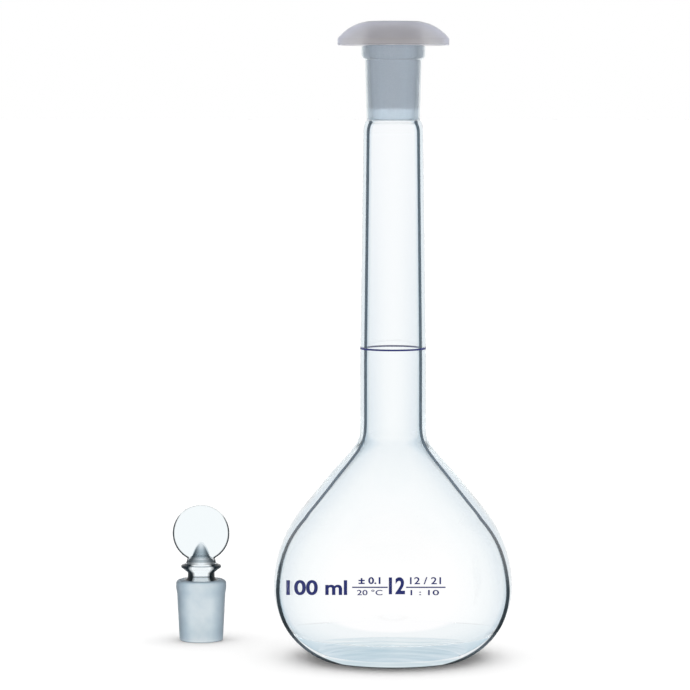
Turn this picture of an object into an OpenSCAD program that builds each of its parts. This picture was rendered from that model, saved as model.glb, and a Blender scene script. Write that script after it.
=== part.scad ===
// Volumetric flask for 100 ml with its two stoppers.
// A pear-shaped bulb carries a long neck, and a ground socket is sealed on top.
// A moulded polyethylene stopper sits in the socket, a glass one stands beside it.
// Z is up. The origin is the centre of the foot, on the table.

/* [Bulb] */
// Largest outside diameter
bulb_d = 62.2; // [58:0.1:68]
// Height of the largest diameter above the table
bulb_wide_z = 18.4; // [16:0.1:22]
// Outside diameter of the ring that the flask stands on
foot_d = 34.2; // [30:0.1:37]
// Width of that ring's flat
foot_flat = 1; // [0.6:0.1:2]
// How far the middle of the bottom is pushed up
punt_rise = 1.1; // [0.5:0.1:2]
// Profile radius above the largest diameter
crown_r = 32.4; // [28:0.1:36]
// Slope of the shoulder, measured from the axis
shoulder_deg = 39.3; // [36:0.1:43]
// Profile radius of the hollow between shoulder and neck
neck_fillet = 6; // [3:0.1:8]
// Wall at the largest diameter
wall_side = 1.5; // [1:0.05:2]
// Wall on the straight of the shoulder
wall_shoulder = 2.1; // [1.5:0.05:2.4]
// Glass in the bottom
wall_bottom = 1.65; // [1.2:0.05:2.4]
// Diameter where the bottom turns up into the wall, inside
heel_d = 38.4; // [35:0.1:41]
// How far the widest place inside lies below the one outside
heel_sag = 0.8; // [0:0.1:1.5]

/* [Neck] */
// Outside diameter above the bulb
neck_d = 17; // [16:0.1:18.5]
// Outside diameter under the socket
neck_top_d = 15.5; // [14.6:0.1:16.4]
// Length from the bulb to the socket
neck_l = 79.9; // [60:0.1:110]
// Length of the stretch that keeps neck_d
neck_even_l = 18.3; // [10:0.1:30]
// Height of the rounded step under the socket
neck_step_h = 3.4; // [2.5:0.1:5]
// Wall of the tube
neck_wall = 1.35; // [1:0.05:1.8]

/* [Graduation ring] */
// Height of the ring's middle above the bulb
ring_above = 21; // [12:0.1:40]
// Width of the enamel line
ring_w = 0.45; // [0.3:0.05:0.8]
// Thickness of the enamel
ring_t = 0.05; // [0.03:0.01:0.1]

/* [Ground socket] */
// Bore diameter at the rim, the wide end of the joint
joint_d = 12.5; // [12:0.1:13]
// Length over which the bore's diameter falls by 1 mm
joint_taper = 10; // [8:1:12]
// Length of the ground bore
ground_l = 19.3; // [17:0.1:24]
// Outside diameter at the lower end
socket_low_d = 13.7; // [13.2:0.1:14.2]
// Outside diameter under the collar
socket_top_d = 14.5; // [14.3:0.1:15.5]
// Outside diameter of the collar
collar_d = 16.85; // [16.2:0.05:18]
// Height of the collar
collar_h = 3.6; // [2.5:0.1:5]
// Rounding of the collar's lower corner
collar_round = 0.8; // [0.3:0.1:1]
// Rounding of the rim's outer corner
rim_round = 0.5; // [0.2:0.1:0.8]

/* [Plastic stopper] */
// Clearance around the plug
plug_gap = 0.05; // [0.02:0.01:0.08]
// Length of the plug below the rim
plug_l = 16.7; // [12:0.1:17]
// Wall at the plug's lower end
plug_wall = 1.1; // [0.8:0.05:1.4]
// Chamfer around the plug's lower end
plug_lead = 0.4; // [0.2:0.1:0.6]
// Diameter of the hub that rests on the rim
hub_d = 16.3; // [14.5:0.1:17]
// Diameter of the head
head_d = 29; // [25:0.1:33]
// Height of the head
head_h = 6.6; // [6:0.1:7.5]
// Height of the straight edge around the head
head_edge_h = 1.7; // [1:0.1:2.2]
// Diameter of the flat on top
head_flat_d = 12.9; // [10:0.1:15]
// Profile radius between the flat and the edge
head_crown_r = 11; // [9.5:0.1:14]
// Thickness of the head's skin
skin_t = 0.85; // [0.6:0.05:1.1]

/* [Glass stopper] */
// Place beside the flask, to its left
stand_x = -51.1; // [-70:0.1:-48]
// Place beside the flask, towards the back
stand_y = 28.8; // [0:0.1:40]
// How far the ground part stays above the rim when it is seated
ground_proud = 4.5; // [2:0.1:5]
// Length of the ground part
ground_part_l = 13; // [11:0.1:16]
// Diameter of the clear band above it
band_d = 13.45; // [13.2:0.05:14]
// Height of the clear band
band_h = 3.3; // [2.5:0.1:4]
// Rounding of the band's upper corner
band_round = 1; // [0.5:0.1:1.4]
// Diameter of the waist
waist_d = 7.8; // [7:0.1:8.6]
// Height from the band up to the bead's middle
waist_h = 3.6; // [3.2:0.1:5]
// Profile radius between the band and the waist
waist_fillet = 1; // [0.5:0.1:1.4]
// Diameter of the bead
bead_d = 10.75; // [9.6:0.05:12]
// Thickness of the bead's edge
bead_edge = 0.9; // [0.6:0.1:1.2]
// Height of the slope from the waist out to the bead's middle
bead_slope_h = 1.6; // [1.2:0.1:2]
// Diameter of the thumb disc
disc_d = 15.6; // [14:0.1:18]
// Thickness of the thumb disc
disc_t = 3; // [2.4:0.1:3.6]
// Height of the disc's lowest edge above the bead's middle
disc_seat = 1.1; // [0.6:0.1:1.6]
// Diameter of the root that runs up into the disc from the bead
root_d = 8; // [7:0.1:9]
// Height of the root above the bead's middle
root_h = 7; // [5:0.1:9]

/* [Hidden] */
$fn = 96;

bulb_r = bulb_d / 2;
foot_r = foot_d / 2;
heel_r = heel_d / 2;
inside_r = bulb_r - wall_side;
inside_wide_z = bulb_wide_z - heel_sag;
neck_r = neck_d / 2;
neck_top_r = neck_top_d / 2;
// The inner shoulder runs parallel to the outer one, wall_shoulder inside it.
inside_crown_r = crown_r + (wall_side * cos(shoulder_deg) - wall_shoulder
                 + heel_sag * sin(shoulder_deg)) / (1 - cos(shoulder_deg));

// Heights of the seams between the three pieces of glass, and of the rim
neck_z = hollow_z(bulb_r, bulb_wide_z, crown_r, neck_r, neck_fillet);
even_z = neck_z + neck_even_l;
socket_z = neck_z + neck_l;
step_z = socket_z - neck_step_h;
rim_z = socket_z + ground_l;
ring_z = neck_z + ring_above;

function arc(cx, cz, r, from, to, n = 16) = bow(cx, cz, r, r, from, to, n);

// Points along an ellipse with half axes rx and rz, angles from the x axis
function bow(cx, cz, rx, rz, from, to, n = 16) =
    [for (i = [0 : n]) let (a = from + (to - from) * i / n)
        [cx + rx * cos(a), cz + rz * sin(a)]];

// Radius of an arc that stands upright at its end and is reached from dx, dz away
function upright_r(dx, dz) = (dx * dx + dz * dz) / (2 * dx);

// From the foot to the widest place, where the wall stands upright
function lower_wall(r, wide_z, low_r, low_z) =
    let (rho = upright_r(r - low_r, wide_z - low_z))
        arc(r - rho, wide_z, rho, -asin((wide_z - low_z) / rho), 0, 24);

// Height where the hollow under the neck ends and the straight tube starts
function hollow_z(r, wide_z, crown, tube_r, fillet) =
    let (c = cos(shoulder_deg), s = sin(shoulder_deg))
        wide_z + crown * s + fillet * s
        + (r - crown * (1 - c) - tube_r - fillet * (1 - c)) * c / s;

// From the widest place over the crown and the straight shoulder into the neck
function upper_wall(r, wide_z, crown, tube_r, fillet) =
    concat(
        arc(r - crown, wide_z, crown, 2, shoulder_deg, 20),
        arc(tube_r + fillet, hollow_z(r, wide_z, crown, tube_r, fillet),
            fillet, 180 + shoulder_deg, 180, 10));

function reversed(p) = [for (i = [len(p) - 1 : -1 : 0]) p[i]];

// Radius of the neck's outside at height z, above the straight stretch
function neck_at(z) =
    neck_r + (neck_top_r - neck_r) * max(0, z - even_z) / (step_z - even_z);

// Radius of the ground bore at height z
function bore_at(z) = joint_d / 2 - (rim_z - z) / joint_taper / 2;

// Centre of the circle of radius r through a and b, on the side of the axis
function circle_centre(a, b, r) =
    let (m = (a + b) / 2, h = (b - a) / 2, l = norm(h),
         q = sqrt(r * r - l * l) / l)
        [m[0] - h[1] * q, m[1] + h[0] * q];

module revolve(points) {
    rotate_extrude() polygon(points);
}

// Blown bulb with the standing ring and the pushed-up bottom
module bulb() {
    color("aliceblue", 0.4) revolve(concat(
        [[0, punt_rise], [foot_r - foot_flat, 0]],
        lower_wall(bulb_r, bulb_wide_z, foot_r, 0),
        upper_wall(bulb_r, bulb_wide_z, crown_r, neck_r, neck_fillet),
        [[neck_r - neck_wall, neck_z]],
        reversed(concat(
            lower_wall(inside_r, inside_wide_z, heel_r, wall_bottom),
            upper_wall(inside_r, inside_wide_z, inside_crown_r,
                       neck_r - neck_wall, neck_fillet + neck_wall))),
        [[0, wall_bottom + punt_rise]]));
}

// Drawn tube, even above the bulb, then slightly tapered, stepped in at the top
module neck() {
    color("aliceblue", 0.4) revolve(concat(
        [[neck_r, neck_z], [neck_r, even_z]],
        bow(socket_low_d / 2, step_z, neck_top_r - socket_low_d / 2,
            neck_step_h, 0, 90),
        reversed(bow(bore_at(socket_z), step_z,
                     neck_top_r - neck_wall - bore_at(socket_z),
                     neck_step_h, 0, 90)),
        [[neck_r - neck_wall, even_z], [neck_r - neck_wall, neck_z]]));
}

// Socket with a conical ground bore and a collar around the mouth
module ground_socket() {
    collar_z = rim_z - collar_h;
    collar_r = collar_d / 2;
    color("lightsteelblue", 0.7) revolve(concat(
        [[bore_at(socket_z), socket_z], [socket_low_d / 2, socket_z],
         [socket_top_d / 2, collar_z]],
        arc(collar_r - collar_round, collar_z + collar_round,
            collar_round, -90, 0, 6),
        arc(collar_r - rim_round, rim_z - rim_round, rim_round, 0, 90, 6),
        [[joint_d / 2, rim_z]]));
}

// Fired enamel line around the neck at the nominal capacity
module graduation_ring() {
    low = ring_z - ring_w / 2;
    high = ring_z + ring_w / 2;
    color("midnightblue") revolve([
        [neck_at(low), low], [neck_at(low) + ring_t, low],
        [neck_at(high) + ring_t, high], [neck_at(high), high]]);
}

// One polyethylene moulding: hollow plug, hub on the rim, thin mushroom head
module plastic_stopper() {
    low = rim_z - plug_l;
    plug_r = bore_at(low) - plug_gap;
    lead_z = low + plug_lead;
    hollow_r = plug_r - plug_wall;
    head_r = head_d / 2;
    top = rim_z + head_h;
    edge = [head_r, rim_z + head_edge_h];
    flat = [head_flat_d / 2, top];
    centre = circle_centre(edge, flat, head_crown_r);
    from = atan2(edge[1] - centre[1], edge[0] - centre[0]);
    to = atan2(flat[1] - centre[1], flat[0] - centre[0]);
    roof_r = head_crown_r - skin_t;
    hub_r = hub_d / 2;
    // Where the roof of the ring-shaped hollow meets its outer wall and the hub
    roof_from = acos((head_r - skin_t - centre[0]) / roof_r);
    roof_to = acos((hub_r - centre[0]) / roof_r);
    color("lavender") revolve(concat(
        [[0, top - skin_t], [hollow_r, top - skin_t], [hollow_r, low],
         [plug_r - plug_lead, low], [bore_at(lead_z) - plug_gap, lead_z],
         [joint_d / 2 - plug_gap, rim_z], [hub_r, rim_z]],
        reversed(arc(centre[0], centre[1], roof_r, roof_from, roof_to, 12)),
        [[head_r - skin_t, rim_z], [head_r, rim_z]],
        arc(centre[0], centre[1], head_crown_r, from, to),
        [[0, top]]));
}

// One piece of pressed glass: ground plug, waist, bead, and an upright thumb disc
module glass_stopper() {
    ground_top_r = (joint_d + ground_proud / joint_taper) / 2;
    ground_low_r = ground_top_r - ground_part_l / joint_taper / 2;
    band_r = band_d / 2;
    band_z = ground_part_l + band_h;
    bead_z = band_z + waist_h;
    edge_r = bead_edge / 2;
    bead_at = bead_d / 2 - edge_r;
    waist_r = waist_d / 2;
    disc_z = bead_z + disc_seat + disc_d / 2;
    translate([stand_x, stand_y, 0]) color("lightcyan", 0.7) {
        revolve(concat(
            [[0, 0], [ground_low_r - plug_lead, 0],
             [ground_low_r + plug_lead / joint_taper / 2, plug_lead],
             [ground_top_r, ground_part_l],
             [band_r, ground_part_l + band_r - ground_top_r]],
            arc(band_r - band_round, band_z - band_round, band_round, 0, 90, 8),
            arc(waist_r + waist_fillet, band_z + waist_fillet, waist_fillet,
                270, 180, 8),
            [[waist_r, bead_z - bead_slope_h]],
            arc(bead_at, bead_z, edge_r, -50, 60, 8),
            bow(0, bead_z + bead_edge, root_d / 2, root_h - bead_edge, 0, 90, 14)));
        translate([0, 0, disc_z]) rotate([90, 0, 0]) thumb_disc();
    }
}

// Flat disc with a round edge, its axis along Z and its middle at the origin
module thumb_disc() {
    edge_r = disc_t / 2;
    revolve(concat(
        [[0, -edge_r]],
        arc(disc_d / 2 - edge_r, 0, edge_r, -90, 90, 16),
        [[0, edge_r]]));
}

bulb();
neck();
ground_socket();
graduation_ring();
plastic_stopper();
glass_stopper();
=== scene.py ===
"""Looks of a 100 ml volumetric flask, its polyethylene stopper and a spare glass stopper.

Lengths are metres in the part's own frame: Z up, the origin under the middle of the foot.
Profiles are drawn in millimetres, as glass drawings are, and scaled by MM where they become meshes.
"""

import bmesh
import bpy
import numpy as np
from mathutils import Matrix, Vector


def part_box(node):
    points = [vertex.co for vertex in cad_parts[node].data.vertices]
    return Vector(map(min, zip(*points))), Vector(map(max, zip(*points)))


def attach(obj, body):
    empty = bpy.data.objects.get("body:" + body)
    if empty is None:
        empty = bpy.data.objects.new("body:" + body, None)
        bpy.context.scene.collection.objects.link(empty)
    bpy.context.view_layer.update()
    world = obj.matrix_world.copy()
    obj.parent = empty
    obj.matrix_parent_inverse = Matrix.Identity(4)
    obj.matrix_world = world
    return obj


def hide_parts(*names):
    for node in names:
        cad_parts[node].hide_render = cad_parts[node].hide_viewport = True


MM = 0.001

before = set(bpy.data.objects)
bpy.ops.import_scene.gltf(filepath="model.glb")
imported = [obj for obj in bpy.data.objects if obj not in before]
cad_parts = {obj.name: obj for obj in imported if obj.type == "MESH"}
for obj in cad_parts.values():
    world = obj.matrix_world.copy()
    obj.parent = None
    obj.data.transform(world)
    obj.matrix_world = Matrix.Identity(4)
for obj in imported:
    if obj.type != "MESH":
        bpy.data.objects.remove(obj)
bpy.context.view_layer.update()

# ---------------------------------------------------------------- camera
# A long lens from slightly above, set for a square picture of 690 pixels.
PICTURE_PX = 690
FOCAL_PX = 3500.0
SENSOR_MM = 36.0
CAMERA_AWAY = 904.75 * MM
CAMERA_ASIDE = -12.465 * MM
CAMERA_HEIGHT = 146.15 * MM
HORIZON_PX = 250.0
CAMERA_DOWN = np.arctan(HORIZON_PX / FOCAL_PX)

lens = bpy.data.cameras.new("camera")
lens.sensor_width = SENSOR_MM
lens.lens = SENSOR_MM * FOCAL_PX / PICTURE_PX
lens.clip_start = 0.05
lens.clip_end = 100.0
camera = bpy.data.objects.new("camera", lens)
camera.location = (CAMERA_ASIDE, -CAMERA_AWAY, CAMERA_HEIGHT)
camera.rotation_euler = (np.pi / 2 - CAMERA_DOWN, 0.0, 0.0)
bpy.context.scene.collection.objects.link(camera)
bpy.context.scene.camera = camera
bpy.context.scene.view_settings.view_transform = "Standard"


# ---------------------------------------------------------------- light and table
# An even white studio. Diffuse light comes a little more from above; seen directly, in a
# reflection or through glass, the studio and the table are plain white.
def linear(hex_colour):
    """sRGB hex such as "#8fa3b0" as linear red, green, blue and alpha 1."""
    v = np.array([int(hex_colour[i : i + 2], 16) for i in (1, 3, 5)]) / 255.0
    v = np.where(v <= 0.04045, v / 12.92, ((v + 0.055) / 1.055) ** 2.4)
    return (*v.tolist(), 1.0)


def node(tree, kind, links=None, **settings):
    """Adds a shader node. settings are its own properties or, by socket name with _ for a
    space, input values; links maps an input's name or number to an output socket."""
    n = tree.nodes.new(kind)
    for key, value in settings.items():
        socket = n.inputs.get(key.replace("_", " "))
        if hasattr(n, key):
            setattr(n, key, value)
        elif socket is not None:
            socket.default_value = value
        else:
            raise KeyError(f"{kind} has no {key}")
    for key, output in (links or {}).items():
        tree.links.new(output, n.inputs[key])
    return n


def maths(tree, operation, a, b=None, clamp=False):
    """Output of a Math node; a and b are numbers or output sockets."""
    n = node(tree, "ShaderNodeMath", operation=operation, use_clamp=clamp)
    for i, value in enumerate((a, b)):
        if value is None:
            continue
        if isinstance(value, (int, float)):
            n.inputs[i].default_value = value
        else:
            tree.links.new(value, n.inputs[i])
    return n.outputs[0]


SKY_LOW = 0.25
SKY_RISE = 3.1
SKY_POWER = 6.0
SKY_SIDE = 0.12

studio = bpy.data.worlds.new("studio")
studio.use_nodes = True
tree = studio.node_tree
tree.nodes.clear()
way = node(tree, "ShaderNodeTexCoord").outputs["Generated"]
way = node(tree, "ShaderNodeSeparateXYZ", {0: way})
above = maths(tree, "MAXIMUM", way.outputs["Z"], 0.0)
lit = maths(tree, "MULTIPLY", maths(tree, "POWER", above, SKY_POWER), SKY_RISE)
lit = maths(tree, "ADD", lit, SKY_LOW)
aside = maths(tree, "ADD", maths(tree, "MULTIPLY", way.outputs["X"], SKY_SIDE), 1.0)
lit = maths(tree, "MULTIPLY", lit, aside)
path = node(tree, "ShaderNodeLightPath")
strength = node(tree, "ShaderNodeMix", {"Factor": path.outputs["Is Diffuse Ray"], "B": lit})
strength.inputs["A"].default_value = 1.0
sky = node(tree, "ShaderNodeBackground", {"Strength": strength.outputs[0]}, Color=(1, 1, 1, 1))
node(tree, "ShaderNodeOutputWorld", {"Surface": sky.outputs[0]})
bpy.context.scene.world = studio

TABLE_HALF = 20.0
# Share of plain white that the table shows in reflections and through glass
TABLE_THROUGH = 0.95

table = bpy.data.meshes.new("table")
table.from_pydata(
    [(x * TABLE_HALF, y * TABLE_HALF, 0.0) for x, y in ((-1, -1), (1, -1), (1, 1), (-1, 1))],
    [],
    [(0, 1, 2, 3)],
)
table = bpy.data.objects.new("table", table)
bpy.context.scene.collection.objects.link(table)
white = bpy.data.materials.new("matt_white_laminate")
white.use_nodes = True
tree = white.node_tree
tree.nodes.clear()
matt = node(tree, "ShaderNodeBsdfDiffuse", Color=(1, 1, 1, 1))
bright = node(tree, "ShaderNodeEmission", Color=(1, 1, 1, 1), Strength=1.0)
path = node(tree, "ShaderNodeLightPath")
direct = maths(tree, "MAXIMUM", path.outputs["Is Camera Ray"], path.outputs["Is Diffuse Ray"])
through = maths(tree, "MULTIPLY", maths(tree, "SUBTRACT", 1.0, direct), TABLE_THROUGH)
mix = node(tree, "ShaderNodeMixShader", {0: through, 1: matt.outputs[0], 2: bright.outputs[0]})
node(tree, "ShaderNodeOutputMaterial", {"Surface": mix.outputs[0]})
table.data.materials.append(white)


# ---------------------------------------------------------------- flask
# One vessel of borosilicate glass: a bulb blown in a mould, a drawn tube and a ground socket
# that are fused to each other. It is modelled as one closed shell, outside and inside.
def arc(cx, cz, rx, rz, start, end, n):
    """n + 1 points (radius, height) along an ellipse with half axes rx and rz round
    (cx, cz), from angle start to end in degrees, counted from the outward direction."""
    a = np.radians(np.linspace(start, end, n + 1))
    return np.stack((cx + rx * np.cos(a), cz + rz * np.sin(a)), axis=1)


def round_arc(cx, cz, r, start, end, n):
    """An arc() of a circle."""
    return arc(cx, cz, r, r, start, end, n)


def line(*points, step=1.0):
    """Points (radius, height) along straight stretches, no further apart than step."""
    out = [np.array([points[0]])]
    for a, b in zip(points[:-1], points[1:]):
        a, b = np.array(a, float), np.array(b, float)
        n = max(1, int(np.ceil(np.linalg.norm(b - a) / step)))
        out.append(a + (b - a) * np.linspace(0, 1, n + 1)[1:, None])
    return np.concatenate(out)


def skin(name, grid, body, low=None, high=None):
    """Closed mesh object over a grid of points (row, column, xyz) in millimetres. Column j is
    joined to j + 1 and the last to the first. With the heights low and high the first and the
    last row are closed to points on the axis, without them the last row joins the first."""
    rows, around = grid.shape[:2]
    v = grid.reshape(-1, 3)
    closed = low is None
    i = np.arange(rows if closed else rows - 1)[:, None]
    j = np.arange(around)[None, :]
    here, after = i * around, (i + 1) % rows * around
    k = (j + 1) % around
    faces = np.stack((here + j, here + k, after + k, after + j), axis=-1).reshape(-1, 4).tolist()
    if not closed:
        axis = [grid[0, :, :2].mean(0).tolist() + [low], grid[-1, :, :2].mean(0).tolist() + [high]]
        j, k, last = j[0], k[0], (rows - 1) * around
        faces += np.stack((np.full(around, len(v)), k, j), axis=1).tolist()
        faces += np.stack((np.full(around, len(v) + 1), last + j, last + k), axis=1).tolist()
        v = np.concatenate((v, axis))
    mesh = bpy.data.meshes.new(name)
    mesh.from_pydata((v * MM).tolist(), [], faces)
    mesh.polygons.foreach_set("use_smooth", np.ones(len(faces), bool))
    mesh.update()
    obj = bpy.data.objects.new(name, mesh)
    bpy.context.scene.collection.objects.link(obj)
    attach(obj, body)
    return obj


def turned(profile, around=192, at=(0.0, 0.0)):
    """Grid of a profile of (radius, height) turned round the vertical through at: the point of
    row i and column j is (r_i cos a_j, r_i sin a_j, z_i) with a_j = 2 pi j / around."""
    p = np.asarray(profile, float)
    p = p[np.r_[True, np.linalg.norm(np.diff(p, axis=0), axis=1) > 1e-6]]
    a = np.linspace(0, 2 * np.pi, around, endpoint=False)
    grid = np.empty((len(p), around, 3))
    grid[..., 0] = at[0] + p[:, :1] * np.cos(a)
    grid[..., 1] = at[1] + p[:, :1] * np.sin(a)
    grid[..., 2] = p[:, 1:]
    return grid


# Heights come from the frame, radii and walls are those of the glass drawing. Bulb and collar
# are drawn smaller than their boxes by the two values below.
BULB_LESS = 0.1
COLLAR_LESS = 0.2
BULB_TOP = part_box("bulb")[1][2] / MM
BULB_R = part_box("bulb")[1][0] / MM - BULB_LESS
SOCKET_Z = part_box("ground_socket")[0][2] / MM
RIM_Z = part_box("ground_socket")[1][2] / MM
COLLAR_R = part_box("ground_socket")[1][0] / MM - COLLAR_LESS
NECK_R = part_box("neck")[1][0] / MM
WIDE_Z = 18.4
FOOT_R = 18.64
HEEL_RISE = 24.8
HEEL_PULLS = (9.5, 6.0)
FOOT_FLAT = 1.0
FOOT_ROUND_W = 0.5
FOOT_ROUND_H = 0.15
FOOT_POINTS = 14
HEEL_START = (0.6, 0.16)
PUNT_HALF = 17.0
PUNT_TURN = 6.6
PUNT = 1.1
CROWN_R = 32.4
SHOULDER = 39.3
WALL_SIDE = 1.0
WALL_SHOULDER = 1.85
WALL_BOTTOM = 1.65
HEEL_R = 19.2
HEEL_SAG = 0.8
HEEL_TUCK = 0.6
NECK_TOP_R = 7.75
NECK_WALL = 1.2
NECK_TOP_WALL = 1.1
FLARE_LOW_Z = 46.0
FLARE_TOP_Z = 59.2
FLARE_PULLS = (8.4, 3.8)
INSIDE_FLARE_TOP_Z = 61.5
INSIDE_FLARE_PULLS = (9.0, 7.0)
NECK_EVEN = 18.3
NECK_STEP = 3.4
TUBE_START = 3
JOINT_R = 6.25
JOINT_HALF_TAPER = 0.05
SOCKET_LOW_R = 6.85
SOCKET_TOP_R = 7.25
SOCKET_START = 0.4
COLLAR_H = 3.6
COLLAR_ROUND = 1.1
RIM_ROUND = 0.5
BORE_ROUND = 0.2
SEAM_ROUND = 0.35


def lower_wall(r, wide_z, low_r, low_z):
    """Cubic curve that leaves (low_r, low_z) at the angle HEEL_RISE and stands upright at
    (r, wide_z), with HEEL_PULLS as the lengths of its two handles."""
    a = np.radians(HEEL_RISE)
    foot, top = np.array((low_r, low_z)), np.array((r, wide_z))
    b = foot + HEEL_PULLS[0] * np.array((np.cos(a), np.sin(a)))
    c = top - (0, HEEL_PULLS[1])
    t = np.linspace(0, 1, 49)[:, None]
    return (1 - t) ** 3 * foot + 3 * t * (1 - t) ** 2 * b + 3 * t**2 * (1 - t) * c + t**3 * top


def upper_wall(r, wide_z, crown, tube_r, flare_z, pulls):
    """Arc over the crown, straight shoulder, and the flare into the tube: a cubic curve that
    leaves the shoulder at FLARE_LOW_Z and ends upright at flare_z, with pulls as the lengths
    of its two handles."""
    c, s = np.cos(np.radians(SHOULDER)), np.sin(np.radians(SHOULDER))
    over = round_arc(r - crown, wide_z, crown, 1, SHOULDER, 44)
    foot = over[-1] + (FLARE_LOW_Z - over[-1, 1]) / c * np.array((-s, c))
    b = foot + pulls[0] * np.array((-s, c))
    d = np.array((tube_r, flare_z))
    a = d - (0, pulls[1])
    t = np.linspace(0, 1, 33)[:, None]
    flare = (1 - t) ** 3 * foot + 3 * t * (1 - t) ** 2 * b + 3 * t**2 * (1 - t) * a + t**3 * d
    return np.concatenate((over, line(over[-1], foot)[1:-1], flare))


def bore_at(z):
    """Radius of the ground bore at height z."""
    return JOINT_R - (RIM_Z - z) * JOINT_HALF_TAPER


INSIDE_R = BULB_R - WALL_SIDE
INSIDE_WIDE_Z = WIDE_Z - HEEL_SAG
INSIDE_CROWN = CROWN_R + (
    WALL_SIDE * np.cos(np.radians(SHOULDER))
    - WALL_SHOULDER
    + HEEL_SAG * np.sin(np.radians(SHOULDER))
) / (1 - np.cos(np.radians(SHOULDER)))
TUBE_R = NECK_R - NECK_WALL
STEP_Z = SOCKET_Z - NECK_STEP
EVEN_Z = BULB_TOP + NECK_EVEN
COLLAR_Z = RIM_Z - COLLAR_H
PUNT_R = PUNT_HALF**2 / (2 * PUNT)
STEP_IN_R = NECK_TOP_R - NECK_TOP_WALL
SOCKET_BORE_R = bore_at(SOCKET_Z)

outside = np.concatenate(
    (
        round_arc(0, -PUNT_R + PUNT, PUNT_R, 90, 90 - PUNT_TURN, 12)[:-1],
        arc(FOOT_R - FOOT_FLAT, FOOT_ROUND_H, FOOT_ROUND_W, FOOT_ROUND_H, 210, 270, 4),
        arc(FOOT_R, FOOT_ROUND_H, FOOT_ROUND_W, FOOT_ROUND_H, -90, -50, 4),
        lower_wall(BULB_R, WIDE_Z, FOOT_R + HEEL_START[0], HEEL_START[1]),
        upper_wall(BULB_R, WIDE_Z, CROWN_R, NECK_R, FLARE_TOP_Z, FLARE_PULLS),
        line((NECK_R, BULB_TOP), (NECK_R, EVEN_Z), (NECK_TOP_R, STEP_Z), step=3),
        arc(SOCKET_LOW_R, STEP_Z, NECK_TOP_R - SOCKET_LOW_R, NECK_STEP, 3, 86, 14),
        line((SOCKET_LOW_R, SOCKET_Z + SOCKET_START), (SOCKET_TOP_R, COLLAR_Z - SEAM_ROUND), step=1),
        round_arc(SOCKET_TOP_R + SEAM_ROUND, COLLAR_Z - SEAM_ROUND, SEAM_ROUND, 170, 90, 5),
        round_arc(COLLAR_R - COLLAR_ROUND, COLLAR_Z + COLLAR_ROUND, COLLAR_ROUND, -85, 0, 8),
        round_arc(COLLAR_R - RIM_ROUND, RIM_Z - RIM_ROUND, RIM_ROUND, 0, 90, 7),
    )
)
inside_upper = upper_wall(
    INSIDE_R, INSIDE_WIDE_Z, INSIDE_CROWN, TUBE_R, INSIDE_FLARE_TOP_Z, INSIDE_FLARE_PULLS
)
inside = np.concatenate(
    (
        round_arc(JOINT_R + BORE_ROUND, RIM_Z - BORE_ROUND, BORE_ROUND, 90, 177, 4),
        line((bore_at(RIM_Z - RIM_ROUND), RIM_Z - RIM_ROUND), (SOCKET_BORE_R, SOCKET_Z), step=1),
        arc(SOCKET_BORE_R, STEP_Z, STEP_IN_R - SOCKET_BORE_R, NECK_STEP, 88, 3, 14),
        line((STEP_IN_R, STEP_Z), (TUBE_R, EVEN_Z), (TUBE_R, BULB_TOP + TUBE_START), step=3),
        inside_upper[::-1],
        lower_wall(INSIDE_R, INSIDE_WIDE_Z, HEEL_R, WALL_BOTTOM)[::-1],
        arc(0, WALL_BOTTOM, HEEL_R - HEEL_TUCK, PUNT, 8, 90, 24),
    )
)
flask = skin(
    "flask_glass",
    turned(np.concatenate((outside[1:], inside[:-1]))),
    "flask",
    low=PUNT,
    high=WALL_BOTTOM + PUNT,
)
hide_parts("bulb", "neck", "ground_socket")

GLASS_IOR = 1.473
LEAST_R = 5 * MM
LEAST_LEVEL = 0.05


def material(name):
    """An empty node material and its tree."""
    m = bpy.data.materials.new(name)
    m.use_nodes = True
    m.node_tree.nodes.clear()
    return m, m.node_tree


def rise(tree, value, start, span):
    """Output: 0 up to start, 1 from start + span on, an even slope between them."""
    return maths(tree, "DIVIDE", maths(tree, "SUBTRACT", value, start), span, clamp=True)


def fall(tree, value, end, span):
    """Output: 1 up to end - span, 0 from end on, an even slope between them."""
    return maths(tree, "DIVIDE", maths(tree, "SUBTRACT", end, value), span, clamp=True)


def other_leg(tree, leg):
    """Output: sqrt(1 - leg^2), which turns a cosine into the sine and back."""
    return maths(tree, "SQRT", maths(tree, "SUBTRACT", 1.0, maths(tree, "MULTIPLY", leg, leg)))


def level_length(tree, vector):
    """Output: length of the level part of a vector."""
    flat = node(tree, "ShaderNodeVectorMath", {0: vector}, operation="MULTIPLY")
    flat.inputs[1].default_value = (1, 1, 0)
    length = node(tree, "ShaderNodeVectorMath", {0: flat.outputs[0]}, operation="LENGTH")
    return length.outputs["Value"]


def facing(tree):
    """Output: 0 on a face that is seen squarely, 1 at its outline."""
    return node(tree, "ShaderNodeLayerWeight", Blend=0.5).outputs["Facing"]


def cosine_seen(tree):
    """Output: cosine of the angle between the normal and the line of sight."""
    return maths(tree, "SUBTRACT", 1.0, facing(tree))


def sine_in_air(tree, ior):
    """Output: sine of the angle of incidence as it is, or would be, outside the glass."""
    within = node(tree, "ShaderNodeNewGeometry").outputs["Backfacing"]
    more = maths(tree, "ADD", maths(tree, "MULTIPLY", within, ior - 1), 1.0)
    return maths(tree, "MULTIPLY", other_leg(tree, cosine_seen(tree)), more)


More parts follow.
